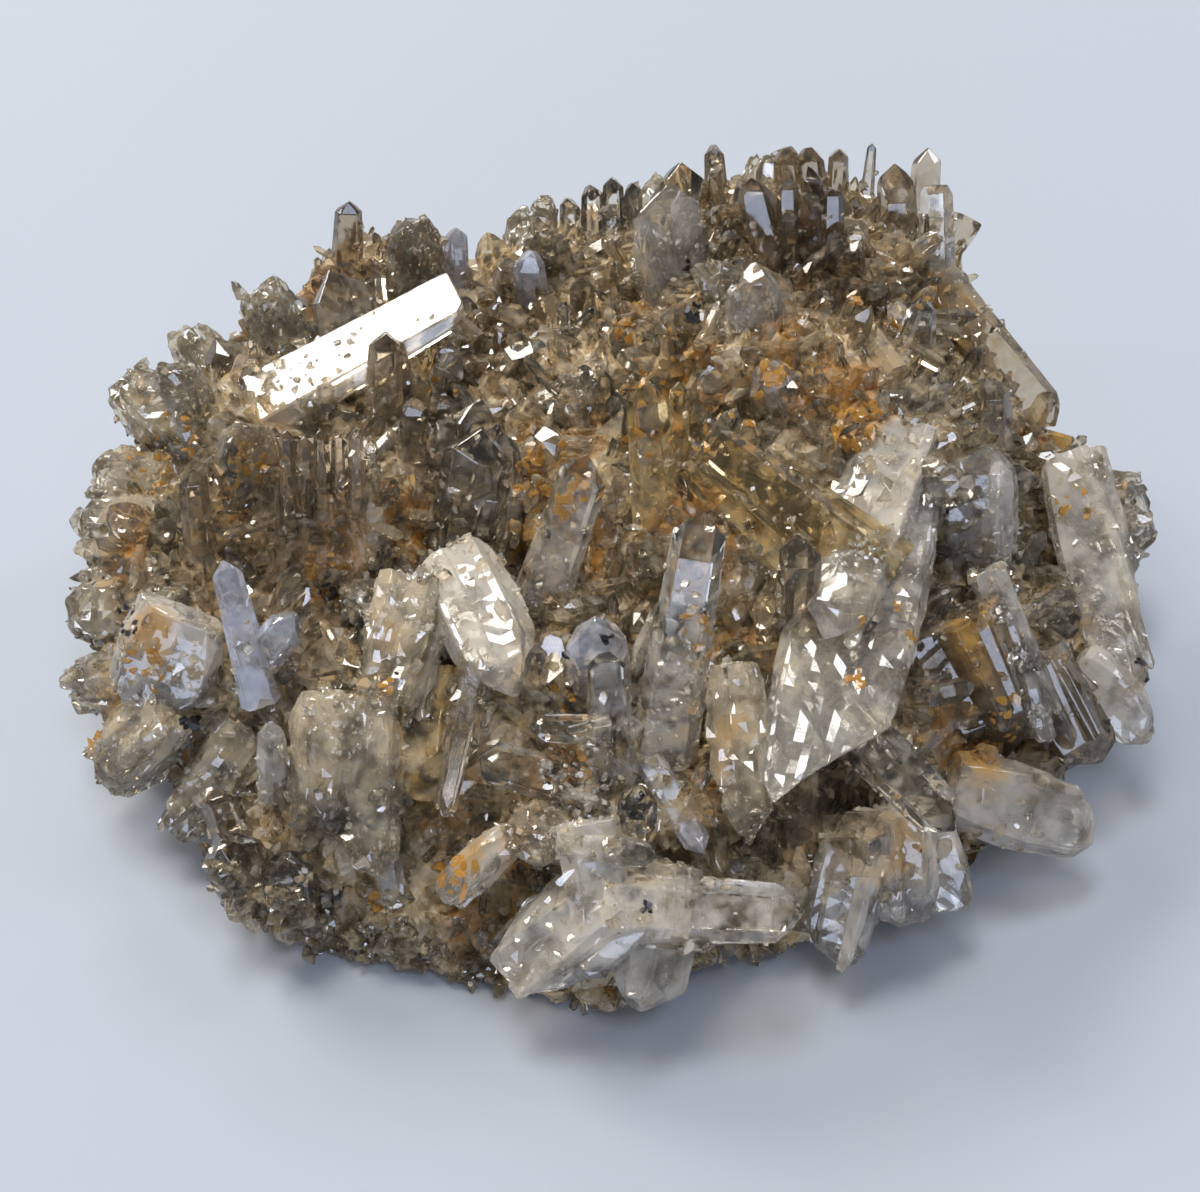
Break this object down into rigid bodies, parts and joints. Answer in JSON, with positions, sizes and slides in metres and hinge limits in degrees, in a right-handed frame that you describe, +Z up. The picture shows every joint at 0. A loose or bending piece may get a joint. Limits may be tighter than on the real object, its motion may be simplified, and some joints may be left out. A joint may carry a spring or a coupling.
{
  "type": "golden healer quartz cluster",
  "caption": "Low mound of intergrown smoky and honey-coloured quartz crystals that rests on a small flat patch underneath.",
  "frame": {"origin": "under the middle of the cluster's outline, on the plane it rests on", "axes": "+X to the right, towards the long milky crystals; +Y to the back, away from the viewer; +Z up"},
  "size_m": [0.1394, 0.1136, 0.0543],
  "materials": {
    "quartz": "clear to milky quartz crystals with iron-stained, honey-coloured feet"
  },
  "bodies": {
    "root": {"quartz_cluster": "quartz"}
  },
  "joints": []
}
